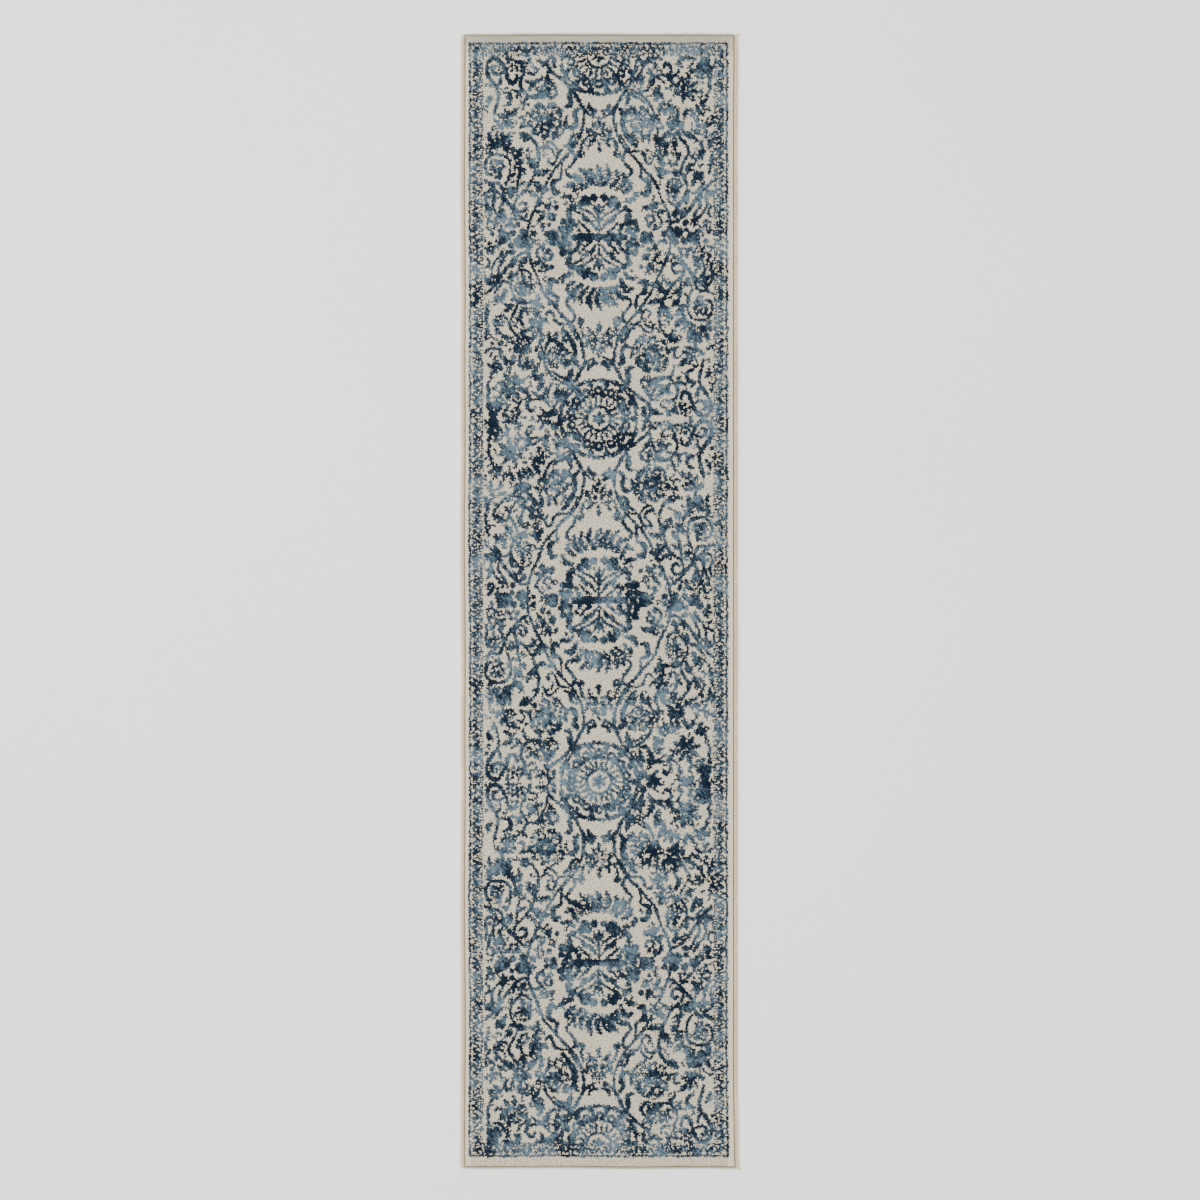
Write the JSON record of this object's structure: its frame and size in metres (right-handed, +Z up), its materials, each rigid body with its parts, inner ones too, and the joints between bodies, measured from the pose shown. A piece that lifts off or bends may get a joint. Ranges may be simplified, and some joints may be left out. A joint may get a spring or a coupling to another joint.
{
  "type": "runner rug",
  "caption": "Long narrow cut-pile runner rug, ivory with blue vine and rosette figure, serged edges, laid flat on its latex-coated back.",
  "frame": {"origin": "centre of the underside", "axes": "+X across the rug, +Y along it, +Z up through the pile"},
  "size_m": [0.533, 2.184, 0.009],
  "materials": {
    "latex_coat": "matt, weave showing through",
    "ground_yarn": "coarse woven polyester and jute",
    "pile_yarn": "soft cut pile, ivory ground with navy, mid blue and light blue figure",
    "serging_yarn": "twisted beige yarn, wound turn beside turn",
    "cord_yarn": "soft twisted cotton cord",
    "end_yarn": "fine tan overlock yarn"
  },
  "bodies": {
    "root": {"back_coat": "latex_coat", "ground_weave": "ground_yarn", "pile": "pile_yarn", "left_side_serging": "serging_yarn", "left_selvage_cord": "cord_yarn", "right_side_serging": "serging_yarn", "right_selvage_cord": "cord_yarn", "near_end_serging": "end_yarn", "far_end_serging": "end_yarn"}
  },
  "joints": []
}
